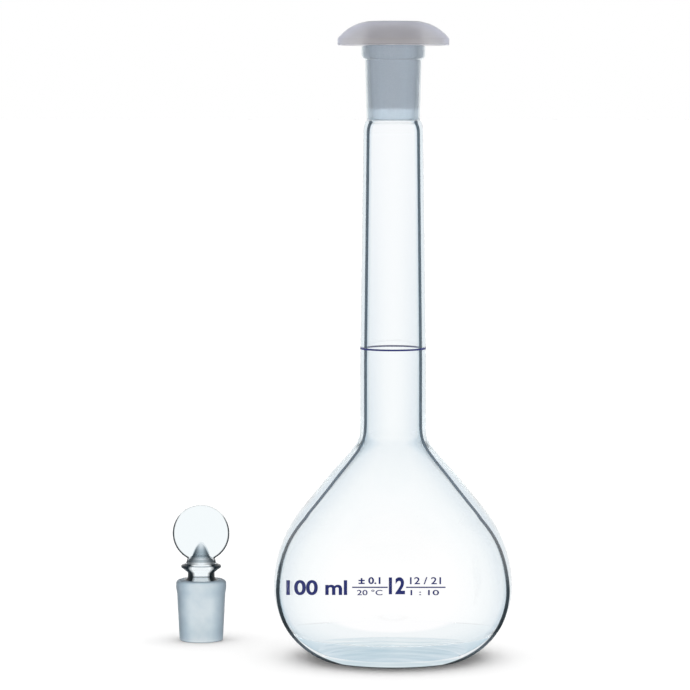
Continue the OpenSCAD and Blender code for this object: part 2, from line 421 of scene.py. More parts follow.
def inside_outline(tree, ior):
    """Output: how far inside the outline of a turned surface a point is seen, in mm. In air it
    is r / n * (1 - sin a), with r the distance from the axis, n the level part of the normal
    and a the angle of incidence. From within the glass, sin a counts ior times as much."""
    coords = node(tree, "ShaderNodeTexCoord")
    r = maths(tree, "MAXIMUM", level_length(tree, coords.outputs["Object"]), LEAST_R)
    n = maths(tree, "MAXIMUM", level_length(tree, coords.outputs["Normal"]), LEAST_LEVEL)
    short = maths(tree, "SUBTRACT", 1.0, sine_in_air(tree, ior))
    depth = maths(tree, "MULTIPLY", short, maths(tree, "DIVIDE", r, n))
    return maths(tree, "MULTIPLY", depth, 1 / MM)


def height_mm(tree):
    """Output: height above the table in mm."""
    where = node(tree, "ShaderNodeTexCoord").outputs["Object"]
    z = node(tree, "ShaderNodeSeparateXYZ", {0: where}).outputs["Z"]
    return maths(tree, "MULTIPLY", z, 1 / MM)


def entering(tree):
    """Output: 1 where light enters the glass, 0 where it leaves."""
    return maths(tree, "SUBTRACT", 1.0, node(tree, "ShaderNodeNewGeometry").outputs["Backfacing"])


def ramp(tree, factor, span, stops):
    """Colour over factor / span, clamped, with (factor, sRGB hex) stops in rising order."""
    r = node(tree, "ShaderNodeValToRGB", {"Fac": maths(tree, "DIVIDE", factor, span, clamp=True)})
    for _ in stops[2:]:
        r.color_ramp.elements.new(0.5)
    for e, (position, colour) in zip(r.color_ramp.elements, stops):
        e.position = position / span
        e.color = linear(colour)
    return r.outputs["Color"]


def clouds(tree, size, detail, stops):
    """Colour of soft noise in the object's own space, with blobs of about size in metres."""
    where = node(tree, "ShaderNodeTexCoord").outputs["Object"]
    noise = node(tree, "ShaderNodeTexNoise", {"Vector": where}, Scale=1 / size, Detail=detail)
    return ramp(tree, noise.outputs["Fac"], 1.0, stops)


def multiplied(tree, a, b):
    """Output: two colours multiplied."""
    n = node(tree, "ShaderNodeMix", {"A": a, "B": b}, data_type="RGBA", blend_type="MULTIPLY")
    n.inputs[0].default_value = 1.0
    return n.outputs["Result"]


def blended(tree, factor, a, b):
    """Output: colour a where factor is 0, b where it is 1; each an output or an sRGB hex."""
    n = node(tree, "ShaderNodeMix", {"Factor": factor}, data_type="RGBA")
    for name, colour in (("A", a), ("B", b)):
        if isinstance(colour, str):
            n.inputs[name].default_value = linear(colour)
        else:
            tree.links.new(colour, n.inputs[name])
    return n.outputs["Result"]


def principled(tree, colour, roughness, ior, through=0.0):
    """Output of a Principled shader that lets the share through pass; colour is an output or
    an sRGB hex."""
    n = node(tree, "ShaderNodeBsdfPrincipled", Roughness=roughness, IOR=ior)
    n.inputs["Transmission Weight"].default_value = through
    if isinstance(colour, str):
        n.inputs["Base Color"].default_value = linear(colour)
    else:
        tree.links.new(colour, n.inputs["Base Color"])
    return n.outputs[0]


def mixed(tree, factor, a, b):
    """Output: shader a where factor is 0, b where it is 1; factor is a number or an output."""
    if isinstance(factor, float):
        return node(tree, "ShaderNodeMixShader", {1: a, 2: b}, Fac=factor).outputs[0]
    return node(tree, "ShaderNodeMixShader", {0: factor, 1: a, 2: b}).outputs[0]


def shade_through(tree, surface, shade):
    """Ends a glass: diffuse and shadow rays pass it straight, dimmed by shade (a number or a
    colour output), so that it leaves a soft shadow and not a noisy caustic."""
    path = node(tree, "ShaderNodeLightPath")
    soft = maths(tree, "MAXIMUM", path.outputs["Is Diffuse Ray"], path.outputs["Is Shadow Ray"])
    if isinstance(shade, float):
        clear = node(tree, "ShaderNodeBsdfTransparent", Color=(shade, shade, shade, 1))
    else:
        clear = node(tree, "ShaderNodeBsdfTransparent", {"Color": shade})
    whole = mixed(tree, soft, surface, clear.outputs[0])
    node(tree, "ShaderNodeOutputMaterial", {"Surface": whole})


SOCKET_SHADE = 0.92


def heel_shade(tree):
    """The thick heel dims what passes it more than the thin wall of the crown does."""
    shades = [(1.5, "#a2a2a2"), (5.0, "#d8d8d8"), (10.0, "#f6f6f6")]
    return ramp(tree, height_mm(tree), 12.0, shades)


# So near 1 that no light is caught in the wall, however flat the angle.
STRAIGHT_IOR = 1.0005
STRAIGHT_Z = 7.3
STRAIGHT_SOFT = 0.6


def straight_glass(tree, colour):
    """Output of a glass through which one sees straight."""
    n = node(tree, "ShaderNodeBsdfRefraction", {"Color": colour}, Roughness=0.0, IOR=STRAIGHT_IOR)
    return n.outputs[0]


def straight_low(tree, glass, colour):
    """Below 7 mm the faces of the heel are so close to parallel that one sees straight through:
    from there down light stops bending."""
    low = fall(tree, height_mm(tree), STRAIGHT_Z, STRAIGHT_SOFT)
    return mixed(tree, low, glass, straight_glass(tree, colour))


PAST_SOFT = 0.16
BEFORE_SOFT = 0.10


def dark_line(tree, depth, start, end, by_height=None):
    """Output: 1 where depth is between start and end in mm, with soft ends. by_height holds two
    heights in mm: the line is absent at the first and complete at the second."""
    past = rise(tree, depth, end, PAST_SOFT)
    before = fall(tree, depth, start, BEFORE_SOFT)
    inside = maths(tree, "SUBTRACT", 1.0, maths(tree, "MAXIMUM", past, before))
    if by_height is None:
        return inside
    zone = rise(tree, height_mm(tree), by_height[0], by_height[1] - by_height[0])
    return maths(tree, "MULTIPLY", inside, zone)


# Fire-polished outside: clear, blue-grey where the eye looks along the wall. The dark that
# such a wall shows, where it bends the dark ends of the room into view, is painted in as a
# dark colour: low on the bulb as a line just inside the outline, which moves inwards with the
# height, as a line along the very foot, and as a short dark line at the outline where the
# bulb is fused to the neck.
# Colours of the painted dark line low on the bulb, by height.
LINE_LOW_COLOUR = [
    (0.3, "#636e74"),
    (4.0, "#66717a"),
    (8.5, "#363e43"),
    (11.0, "#353e43"),
    (16.0, "#3f4a51"),
]
LOW_LINE = (-0.05, 0.72)
LOW_LINE_Z = (34.0, 19.0)
LEAN_Z = 7.0
LEAN = 0.057
FOOT_LINE_Z = 0.55
FOOT_LINE_SOFT = 0.25
SEAM_Z = 55.9
SEAM_HALF = 1.2
SEAM_AMOUNT = 0.5
SEAM_LINE = (0.45, 0.9)
UNDER_Z = 2.4
UNDER_SOFT = 0.8

outer, tree = material("borosilicate_fire_polished")
depth = inside_outline(tree, GLASS_IOR)
tint = ramp(
    tree,
    depth,
    3.0,
    [(0.0, "#dfe9ef"), (0.3, "#e6f0f5"), (1.0, "#dde8f0"), (1.5, "#d9e6ef"), (2.4, "#ffffff")],
)
glass = principled(tree, tint, 0.0, GLASS_IOR, 1.0)
line_tint = ramp(tree, height_mm(tree), 16.0, LINE_LOW_COLOUR)
dark = node(tree, "ShaderNodeBsdfDiffuse", {"Color": line_tint})
above = maths(tree, "MAXIMUM", maths(tree, "SUBTRACT", height_mm(tree), LEAN_Z), 0.0)
shifted = maths(tree, "SUBTRACT", depth, maths(tree, "MULTIPLY", above, LEAN))
amount = maths(tree, "MULTIPLY", dark_line(tree, shifted, *LOW_LINE, LOW_LINE_Z), entering(tree))
# Painted dark line along the very foot.
foot = fall(tree, height_mm(tree), FOOT_LINE_Z, FOOT_LINE_SOFT)
amount = maths(tree, "MAXIMUM", amount, maths(tree, "MULTIPLY", foot, entering(tree)))
# Painted dark line at the outline where bulb and neck are fused.
seam = maths(tree, "ABSOLUTE", maths(tree, "SUBTRACT", height_mm(tree), SEAM_Z))
seam = maths(tree, "MULTIPLY", maths(tree, "SUBTRACT", SEAM_HALF, seam, clamp=True), SEAM_AMOUNT)
painted_seam_line = maths(tree, "MULTIPLY", seam, dark_line(tree, depth, *SEAM_LINE))
amount = maths(tree, "MAXIMUM", amount, painted_seam_line)
pale = ramp(tree, depth, 3.0, [(0.0, "#f3f7f9"), (2.4, "#fefeff")])
under = maths(tree, "MULTIPLY", fall(tree, height_mm(tree), UNDER_Z, UNDER_SOFT), entering(tree))
clear = straight_low(tree, glass, blended(tree, under, pale, "#e3edf1"))

# Along its outline the flare from shoulder to neck is painted paler: a veil of painted light,
# a pale diffuse colour, is mixed in there, set for looks.
PAINTED_VEIL_Z = 53.0
PAINTED_VEIL_FULL = 1.6
PAINTED_VEIL_FADE = 7.0
PAINTED_VEIL_EDGE = 0.9
PAINTED_VEIL_DEPTH = 1.1

painted_veil = node(tree, "ShaderNodeBsdfDiffuse", Color=linear("#f0f8fb"))
far = maths(tree, "ABSOLUTE", maths(tree, "SUBTRACT", height_mm(tree), PAINTED_VEIL_Z))
near = maths(tree, "SUBTRACT", PAINTED_VEIL_FULL, maths(tree, "DIVIDE", far, PAINTED_VEIL_FADE), clamp=True)
edge = maths(tree, "SUBTRACT", PAINTED_VEIL_EDGE, maths(tree, "DIVIDE", depth, PAINTED_VEIL_DEPTH), clamp=True)
clear = mixed(tree, maths(tree, "MULTIPLY", near, edge), clear, painted_veil.outputs[0])
shade_through(tree, mixed(tree, amount, clear, dark.outputs[0]), heel_shade(tree))

# Inside of the same wall: higher up, a painted dark line of even width runs along its
# outline, a little further in on the shoulder, where such a wall bends the dark ends of the
# room into view. The tint fades out up the neck.
# Colours of the painted dark line, by height.
LINE_COLOUR = [
    (18.0, "#35424a"),
    (30.0, "#22303c"),
    (37.0, "#3d5468"),
    (46.0, "#475f71"),
    (60.0, "#465d6b"),
]
HIGH_LINE = (-0.17, 0.43)
HIGH_LINE_Z = (18.0, 20.5)
SHOULDER_SHIFT = 0.26
SHIFT_FROM, SHIFT_FROM_SOFT = 30.0, 8.0
SHIFT_TO, SHIFT_TO_SOFT = 52.0, 12.0
NECK_CLEAR_Z = 55.0
NECK_CLEAR_SOFT = 100.0

inner, tree = material("borosilicate_inside")
depth = inside_outline(tree, GLASS_IOR)
tint = ramp(
    tree,
    depth,
    14.0,
    [
        (0.5, "#ccd8de"),
        (1.0, "#dae5ea"),
        (2.0, "#e2ebf1"),
        (3.2, "#eaf1f5"),
        (5.0, "#f3f8fa"),
        (8.5, "#fafdfe"),
        (14.0, "#ffffff"),
    ],
)
high = rise(tree, height_mm(tree), NECK_CLEAR_Z, NECK_CLEAR_SOFT)
glass = principled(tree, blended(tree, high, tint, "#fafcfe"), 0.0, GLASS_IOR, 1.0)
line_tint = ramp(tree, height_mm(tree), 60.0, LINE_COLOUR)
dark = node(tree, "ShaderNodeBsdfDiffuse", {"Color": line_tint})
up = rise(tree, height_mm(tree), SHIFT_FROM, SHIFT_FROM_SOFT)
down = fall(tree, height_mm(tree), SHIFT_TO, SHIFT_TO_SOFT)
shoulder = maths(tree, "MULTIPLY", maths(tree, "MULTIPLY", up, down), SHOULDER_SHIFT)
amount = dark_line(tree, maths(tree, "SUBTRACT", depth, shoulder), *HIGH_LINE, HIGH_LINE_Z)
pale = ramp(tree, depth, 6.0, [(0.0, "#e8f0f4"), (2.0, "#f8fbfc"), (6.0, "#ffffff")])
clear = straight_low(tree, glass, pale)
shade_through(tree, mixed(tree, amount, clear, dark.outputs[0]), heel_shade(tree))

# The pushed-up bottom is thicker, and its blue-green shows as one looks along it, in faint
# streaks left by the mould.
STREAK = (1 / (16 * MM), 1 / (5 * MM), 0)

bottom, tree = material("borosilicate_bottom")
where = node(tree, "ShaderNodeTexCoord").outputs["Object"]
r = maths(tree, "MULTIPLY", level_length(tree, where), 1 / MM)
tint = ramp(tree, r, 20.0, [(0.0, "#f8fbfc"), (13.0, "#f7fafb"), (19.0, "#fdfeff")])
streak = node(tree, "ShaderNodeVectorMath", {0: where}, operation="MULTIPLY")
streak.inputs[1].default_value = STREAK
streak = node(tree, "ShaderNodeTexNoise", {"Vector": streak.outputs[0]}, Scale=1.0, Detail=2.0)
streak = ramp(tree, streak.outputs["Fac"], 1.0, [(0.35, "#eef4f7"), (0.65, "#ffffff")])
tint = multiplied(tree, tint, streak)
shade_through(tree, straight_glass(tree, tint), heel_shade(tree))

# Outside of the ground socket: the same fire-polished glass, which turns pale along its
# outline, where the frost behind it ends short of the edge; the pale is painted light, a pale
# diffuse colour mixed in there.
PALE_EDGE = 0.55

polished, tree = material("borosilicate_over_ground")
depth = inside_outline(tree, GLASS_IOR)
glass = principled(tree, "#f4f9fb", 0.0, GLASS_IOR, 1.0)
pale = node(tree, "ShaderNodeBsdfDiffuse", Color=linear("#f3fafc"))
amount = maths(tree, "SUBTRACT", 1.0, maths(tree, "DIVIDE", depth, PALE_EDGE, clamp=True))
shade_through(tree, mixed(tree, amount, glass, pale.outputs[0]), SOCKET_SHADE)

# Ground bore of the socket: cut with fine grit, it scatters light and looks like frost. Its
# tint is painted darker towards the outline: painted shade.
GRIT = 0.00022
FROST_SHARE = 0.82
FROST_BACK = 0.38

ground, tree = material("borosilicate_ground")
speckle = clouds(tree, GRIT, 2.0, [(0.3, "#eef2f4"), (0.7, "#ffffff")])
depth = inside_outline(tree, GLASS_IOR)
tint = ramp(
    tree,
    depth,
    6.0,
    [(0.0, "#b1c2cf"), (0.8, "#c9d7e3"), (2.5, "#d9e7f2"), (6.0, "#dfebf5")],
)
tint = multiplied(tree, tint, speckle)
glass = principled(tree, tint, 0.5, GLASS_IOR, 1.0)
forth = node(tree, "ShaderNodeBsdfTranslucent", {"Color": tint})
back = node(tree, "ShaderNodeBsdfDiffuse", {"Color": tint})
frost = mixed(tree, FROST_BACK, forth.outputs[0], back.outputs[0])
shade_through(tree, mixed(tree, FROST_SHARE, glass, frost), SOCKET_SHADE)

for m in (outer, inner, ground, bottom, polished):
    flask.data.materials.append(m)


def give_slots(obj, rule, at=(0.0, 0.0)):
    """Material number per face from rule(radius, height, outward part of normal), in mm,
    with the axis through at."""
    n = len(obj.data.polygons)
    middle, normal = np.empty(n * 3), np.empty(n * 3)
    obj.data.polygons.foreach_get("center", middle)
    obj.data.polygons.foreach_get("normal", normal)
    middle, normal = middle.reshape(-1, 3), normal.reshape(-1, 3)
    middle[:, :2] -= np.array(at) * MM
    r = np.hypot(middle[:, 0], middle[:, 1])
    outward = (middle[:, :2] * normal[:, :2]).sum(1) / np.maximum(r, 1e-9)
    slots = rule(r / MM, middle[:, 2] / MM, outward)
    obj.data.polygons.foreach_set("material_index", slots.astype(np.int32))


def flask_slot(r, z, outward):
    """0 outside, 1 inside, 2 in the ground bore, 3 at the bottom, 4 outside of the socket."""
    bottom = (z < WALL_BOTTOM + PUNT + 0.3) & (r < HEEL_R) & ((r < FOOT_R - 0.5) | (z > 1.0))
    bore = (outward < 0) & (z > SOCKET_Z) & (r < JOINT_R + 0.02)
    socket = (outward > 0) & (z > SOCKET_Z + 0.3)
    return np.select([bore, bottom, socket, outward < -0.01], [2, 3, 4, 1], 0)


give_slots(flask, flask_slot)

# ---------------------------------------------------------------- ring and print
# The capacity ring and the marks are blue ceramic enamel, printed on the finished glass and
# fired in. The layer is a few hundredths of a millimetre thick and slightly glossy.
RING_Z = (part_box("graduation_ring")[0][2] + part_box("graduation_ring")[1][2]) / 2 / MM
RING_W = 0.45
RING_T = 0.05
RING_OFF = 0.005
RING_CORNER = 0.02

enamel, tree = material("fired_blue_enamel")
tint = clouds(tree, 0.9 * MM, 3.0, [(0.3, "#1d2668"), (0.7, "#252f72")])
node(tree, "ShaderNodeOutputMaterial", {"Surface": principled(tree, tint, 0.45, 1.3)})


def outside_r(z):
    """Outer radius of the flask at height z, all in mm, read off its own profile."""
    wall = outside[FOOT_POINTS:]
    return np.interp(z, wall[:, 1], wall[:, 0])


half = RING_W / 2
ring_r = float(outside_r(RING_Z)) + RING_OFF
ring_edge_r = ring_r + RING_T - RING_OFF - RING_CORNER
ring_profile = np.concatenate(
    (
        [(ring_r, RING_Z - half), (ring_edge_r, RING_Z - half)],
        round_arc(ring_edge_r, RING_Z - half + RING_CORNER, RING_CORNER, -70, 0, 3),
        round_arc(ring_edge_r, RING_Z + half - RING_CORNER, RING_CORNER, 0, 70, 3),
        [(ring_edge_r, RING_Z + half), (ring_r, RING_Z + half)],
    )
)
ring = skin("capacity_ring", turned(ring_profile), "flask")
ring.data.materials.append(enamel)
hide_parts("graduation_ring")

# Marks: (words, left, right, foot, top, weight) in pixels of the picture, laid flat as a
# printed transfer is and carried onto the bulb along the camera's rays.
MARKS = (
    ("100 ml", 286.4, 347.2, 595.0, 580.2, 0.026),
    ("± 0.1", 358.5, 380.5, 584.0, 577.2, 0.030),
    ("20 °C", 357.0, 382.5, 595.2, 590.0, 0.012),
    ("12", 388.8, 405.0, 594.3, 577.4, 0.034),
    ("12 / 21", 410.0, 441.0, 584.2, 577.2, 0.014),
    ("1 : 10", 410.5, 439.0, 595.2, 590.0, 0.012),
)
RULES = ((352.2, 387.8, 587.3), (406.0, 445.5, 587.3))
RULE_T = 1.25
PRINT_OFF = 0.005
PRINT_T = 0.035
PRINT_STEP_PX = 2.0
FRONT_Y = -30.0
ROUNDS = 30
SLOPE_STEP = 0.1


def figures_height():
    """Height of the figure 1 at size 1, by which all words are set."""
    curve = bpy.data.curves.new("figure", "FONT")
    curve.body = "1"
    obj = bpy.data.objects.new("figure", curve)
    bpy.context.scene.collection.objects.link(obj)
    high = max(v.co.y for v in obj.to_mesh().vertices)
    obj.to_mesh_clear()
    bpy.data.objects.remove(obj)
    bpy.data.curves.remove(curve)
    return high


CAP_H = figures_height()


def word_shape(words, left, right, foot, top, weight):
    """bmesh of flat words between left and right, foot and top in picture pixels; its third
    coordinate is -1 on the glass side and 1 on the printed side. The height counts the cap
    height of the numerals."""
    curve = bpy.data.curves.new("words", "FONT")
    curve.body = words
    curve.size = 1.0
    curve.offset = weight
    curve.extrude = 0.5
    curve.resolution_u = 6
    obj = bpy.data.objects.new("words", curve)
    bpy.context.scene.collection.objects.link(obj)
    mesh = obj.to_mesh()
    bm = bmesh.new()
    bm.from_mesh(mesh)
    obj.to_mesh_clear()
    bpy.data.objects.remove(obj)
    bpy.data.curves.remove(curve)
    bmesh.ops.remove_doubles(bm, verts=bm.verts, dist=1e-4)
    v = np.array([p.co for p in bm.verts])
    low, high = v.min(0), v.max(0)
    v[:, 0] = left + (v[:, 0] - low[0]) / (high[0] - low[0]) * (right - left)
    v[:, 1] = foot - (v[:, 1] + weight) / (CAP_H + 2 * weight) * (foot - top)
    v[:, 2] = np.sign(v[:, 2])
    for p, co in zip(bm.verts, v):
        p.co = co
    return bm


def rule_shape(left, right, y):
    """bmesh of a flat bar from left to right at height y in picture pixels."""
    bm = bmesh.new()
    bmesh.ops.create_cube(bm, size=2.0)
    for p in bm.verts:
        p.co.x = left if p.co.x < 0 else right
        p.co.y = y + p.co.y * RULE_T / 2
    return bm


def onto_bulb(v):
    """Points (x, y, side) in picture pixels carried along the camera's rays onto the front of
    the bulb: at pixel x, y and depth t the ray is at X = Xc + (x - 345) t / f, and t follows
    from the place where X^2 + Y^2 is the square of the bulb's radius at that height."""
    d, h, f = CAMERA_AWAY / MM, CAMERA_HEIGHT / MM, FOCAL_PX
    middle = PICTURE_PX / 2
    p = np.tan(CAMERA_DOWN)
    q = (v[:, 1] - middle) / f
    u = (q + p) / (1 - q * p)
    y = np.full(len(v), FRONT_Y)
    for _ in range(ROUNDS):
        z = h - (d + y) * u
        t = (d + y) * np.cos(CAMERA_DOWN) + (h - z) * np.sin(CAMERA_DOWN)
        x = CAMERA_ASIDE / MM + (v[:, 0] - middle) / f * t
        r = outside_r(z)
        y = 0.5 * y - 0.5 * np.sqrt(np.maximum(r**2 - x**2, 1.0))
    slope = (outside_r(z + SLOPE_STEP) - outside_r(z - SLOPE_STEP)) / (2 * SLOPE_STEP)
    normal = np.stack((x / r, y / r, -slope), axis=1)
    normal /= np.linalg.norm(normal, axis=1)[:, None]
    off = np.where(v[:, 2] > 0, PRINT_OFF + PRINT_T, PRINT_OFF)[:, None]
    return (np.stack((x, y, z), axis=1) + normal * off) * MM


def printed(name, shapes):
    """One mesh object of flat shapes, cut by upright planes so that it can follow the glass."""
    out = bmesh.new()
    for bm in shapes:
        xs = [p.co.x for p in bm.verts]
        for cut in np.arange(min(xs) + PRINT_STEP_PX, max(xs), PRINT_STEP_PX):
            everything = bm.verts[:] + bm.edges[:] + bm.faces[:]
            bmesh.ops.bisect_plane(
                bm, geom=everything, plane_co=(cut, 0, 0), plane_no=(1, 0, 0), dist=1e-5
            )
        part = bpy.data.meshes.new("part")
        bm.to_mesh(part)
        out.from_mesh(part)
        bpy.data.meshes.remove(part)
        bm.free()
    v = onto_bulb(np.array([p.co for p in out.verts]))
    for p, co in zip(out.verts, v):
        p.co = co
    bmesh.ops.recalc_face_normals(out, faces=out.faces)
    mesh = bpy.data.meshes.new(name)
    out.to_mesh(mesh)
    out.free()
    obj = bpy.data.objects.new(name, mesh)
    bpy.context.scene.collection.objects.link(obj)
    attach(obj, "flask")
    return obj


marks = printed("enamel_marks", [word_shape(*m) for m in MARKS] + [rule_shape(*r) for r in RULES])
marks.data.materials.append(enamel)

# ---------------------------------------------------------------- plastic stopper
# One injection-moulded piece of natural polyethylene: a hollow plug, a hub that rests on the
# rim, and a thin domed head. It is milky, so light comes through its thin parts.
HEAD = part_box("plastic_stopper")
HEAD_LOWER = 0.42
HEAD_LESS = 0.1
HEAD_TOP = HEAD[1][2] / MM - HEAD_LOWER
HEAD_R = HEAD[1][0] / MM - HEAD_LESS
PLUG_LOW = HEAD[0][2] / MM
PLUG_GAP = 0.05
PLUG_WALL = 1.1
PLUG_LEAD = 0.4
HUB_R = 8.15
HUB_TOP_R = 7.0
EDGE_H = 1.7
FLAT_R = 6.45
HEAD_CROWN = 11.6
SKIN = 0.85
MOULD_ROUND = 0.25
CENTRE_R = 0.4
MOST_CUT = 0.45
SMOOTH_COSINE = 0.94


def circle_centre(a, b, r):
    """Centre of the circle of radius r through a and b, on the side of the axis."""
    a, b = np.array(a, float), np.array(b, float)
    m, h = (a + b) / 2, (b - a) / 2
    l = np.linalg.norm(h)
    return m + np.array((-h[1], h[0])) * np.sqrt(r * r - l * l) / l


def rounded(points, radius):
    """Corners of an open chain of (x, y) points cut back by up to radius along both sides and
    bridged by a curve of six points on the parabola through the cuts."""
    p = np.asarray(points, float)
    out = [p[0]]
    t = np.linspace(0, 1, 6)[:, None]
    for a, b, c in zip(p[:-2], p[1:-1], p[2:]):
        before, after = np.linalg.norm(a - b), np.linalg.norm(c - b)
        bend = np.dot(b - a, c - b) / (before * after)
        cut = min(radius, before * MOST_CUT, after * MOST_CUT)
        if bend > SMOOTH_COSINE:
            out.append(b)
            continue
        s, e = b + (a - b) / before * cut, b + (c - b) / after * cut
        out.extend((1 - t) ** 2 * s + 2 * t * (1 - t) * b + t**2 * e)
    out.append(p[-1])
    return np.array(out)


plug_low_r = bore_at(PLUG_LOW) - PLUG_GAP
hollow_r = plug_low_r - PLUG_WALL
dome = circle_centre((HEAD_R, RIM_Z + EDGE_H), (FLAT_R, HEAD_TOP), HEAD_CROWN)
start = np.degrees(np.arctan2(RIM_Z + EDGE_H - dome[1], HEAD_R - dome[0]))
end = np.degrees(np.arctan2(HEAD_TOP - dome[1], FLAT_R - dome[0]))
roof_r = HEAD_CROWN - SKIN
roof_start = np.degrees(np.arccos((HEAD_R - SKIN - dome[0]) / roof_r))
roof_end = np.degrees(np.arccos((HUB_TOP_R - dome[0]) / roof_r))
moulding = rounded(
    np.concatenate(
        (
            line((CENTRE_R, HEAD_TOP - SKIN), (hollow_r, HEAD_TOP - SKIN), step=2),
            line((hollow_r, HEAD_TOP - SKIN), (hollow_r, PLUG_LOW), step=4)[1:],
            [(plug_low_r - PLUG_LEAD, PLUG_LOW)],
            [(bore_at(PLUG_LOW + PLUG_LEAD) - PLUG_GAP, PLUG_LOW + PLUG_LEAD)],
            [(JOINT_R - PLUG_GAP, RIM_Z), (HUB_R, RIM_Z)],
            round_arc(*dome, roof_r, roof_end, roof_start, 14),
            [(HEAD_R - SKIN, RIM_Z), (HEAD_R, RIM_Z)],
            round_arc(*dome, HEAD_CROWN, start, end, 18),
            line((FLAT_R, HEAD_TOP), (CENTRE_R, HEAD_TOP), step=2)[1:],
        )
    ),
    MOULD_ROUND,
)
stopper = skin(
    "polyethylene_stopper",
    turned(moulding),
    "plastic_stopper",
    low=HEAD_TOP - SKIN,
    high=HEAD_TOP,
)
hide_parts("plastic_stopper")

# The milky parts bend light less than real polyethylene does: set for looks.
MILK_IOR = 1.25
POLYETHYLENE_IOR = 1.51

# Head: paler and bluer towards its outline, painted light for the light through its thin edge.
plastic, tree = material("polyethylene_natural_moulded")
flow = clouds(tree, 6 * MM, 2.0, [(0.3, "#f4f4f5"), (0.7, "#ffffff")])
tint = ramp(
    tree,
    facing(tree),
    1.0,
    [(0.0, "#cbc9c9"), (0.5, "#cdcdd4"), (0.8, "#d6daeb"), (1.0, "#f4f4fa")],
)
milk = principled(tree, multiplied(tree, tint, flow), 0.4, MILK_IOR, 0.66)
node(tree, "ShaderNodeOutputMaterial", {"Surface": milk})

# Thick parts seen from within the hollow: the same plastic, too thick to look through, in a
# darker grey than the head: painted shade.
core, tree = material("polyethylene_natural_core")
milk = principled(tree, "#a29fa6", 0.4, POLYETHYLENE_IOR)
node(tree, "ShaderNodeOutputMaterial", {"Surface": milk})

# Under side of the thin skin, smooth and nearly clear against the milky outside.
under, tree = material("polyethylene_natural_skin")
milk = principled(tree, "#f0f0f0", 0.15, MILK_IOR, 1.0)
node(tree, "ShaderNodeOutputMaterial", {"Surface": milk})
for m in (plastic, core, under):
    stopper.data.materials.append(m)


def stopper_slot(r, z, outward):
    """0 on the head's outside, 1 on plug and hub, 2 on the roof of the hollow."""
    over = np.hypot(r - dome[0], z - dome[1])
    roof = (abs(over - roof_r) < 0.12) & (r > HUB_TOP_R - 0.1) & (z > RIM_Z + 0.2)
    wall = (abs(r - (HEAD_R - SKIN)) < 0.15) & (outward < 0) & (z > RIM_Z)
    return np.select([roof | wall, (r < HUB_R + 0.1) & (z < HEAD_TOP - 0.4)], [2, 1], 0)


give_slots(stopper, stopper_slot)

# ---------------------------------------------------------------- glass stopper
# One piece of pressed glass. The plug is ground to the same taper as the socket; above it
# come a clear band, a waist, a bead and an upright thumb disc that grows out of a root.
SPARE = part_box("glass_stopper")
STAND = ((SPARE[0][0] + SPARE[1][0]) / 2 / MM, (SPARE[0][1] + SPARE[1][1]) / 2 / MM)
GROUND_H = 13.0
PLUG_ROUND = 0.35
GROUND_LOW_R = 5.825
GROUND_TOP_R = 6.475
BAND_R = 6.725
BAND_Z = 16.3
BAND_ROUND = 1.0
WAIST_R = 3.6
WAIST_FILLET = 1.0
BEAD_Z = 19.9
BEAD_R = 5.375
BEAD_EDGE = 0.45
DISC_R = 7.62
DISC_DROP = 7.8
DISC_Z = SPARE[1][2] / MM - DISC_DROP
SPARE_TOP = DISC_Z + DISC_R
DISC_EDGE = 1.5
# Half width of the root where it comes out of the disc's face, from the bead to its tip
ROOT_FACE = (
    (20.4, 4.45),
    (20.65, 4.05),
    (20.95, 3.7),
    (21.6, 3.55),
    (22.0, 3.25),
    (22.45, 2.68),
    (23.1, 2.3),
    (23.8, 1.95),
    (25.17, 1.35),
    (26.0, 0.75),
    (26.4, 0.0),
)
WELD = 0.12
TIP_SLOPE = 1.5
FAR_R = 9.0
HALVINGS = 36

body = np.concatenate(
    (
        round_arc(GROUND_LOW_R - PLUG_ROUND, PLUG_ROUND, PLUG_ROUND, -90, -5, 6),
        line((GROUND_LOW_R + 0.02, 0.5), (GROUND_TOP_R - 0.02, GROUND_H - 0.4), step=1.0),
        [(GROUND_TOP_R + 0.04, GROUND_H)],
        [(BAND_R - 0.08, GROUND_H + 0.7), (BAND_R, GROUND_H + 1.2)],
        round_arc(BAND_R - BAND_ROUND, BAND_Z - BAND_ROUND, BAND_ROUND, 0, 88, 8),
        round_arc(WAIST_R + WAIST_FILLET, BAND_Z + WAIST_FILLET, WAIST_FILLET, 268, 182, 10),
        [(WAIST_R, BEAD_Z - 1.7), (WAIST_R + 0.12, BEAD_Z - 1.45)],
        round_arc(BEAD_R - BEAD_EDGE, BEAD_Z, BEAD_EDGE, -50, 62, 8),
    )
)


def head_radius(direction, z):
    """Distance from the axis to the skin of root and disc, in each level direction at each
    height. It is where f = 0, with f the soft minimum of the two shapes: the root turned from
    its profile, and a disc of radius R with a round edge e, whose depth is
    hypot(max(hypot(x, z') - (R - e), 0), y) - e. Found by halving the interval."""
    face = np.array(ROOT_FACE)
    root_r = np.hypot(np.interp(z, face[:, 0], face[:, 1]), DISC_EDGE)
    root_r = np.where(z < face[-1, 0], root_r, root_r - (z - face[-1, 0]) * TIP_SLOPE)
    near, far = np.zeros_like(z), np.full_like(z, FAR_R)
    for _ in range(HALVINGS):
        rho = (near + far) / 2
        x, y = rho * direction[..., 0], rho * direction[..., 1]
        q = np.hypot(x, z - DISC_Z)
        disc = np.hypot(np.maximum(q - (DISC_R - DISC_EDGE), 0), y) - DISC_EDGE
        cone = rho - root_r
        f = -WELD * np.logaddexp(-disc / WELD, -cone / WELD)
        out = f > 0
        near, far = np.where(out, near, rho), np.where(out, rho, far)
    return (near + far) / 2


AROUND = 224
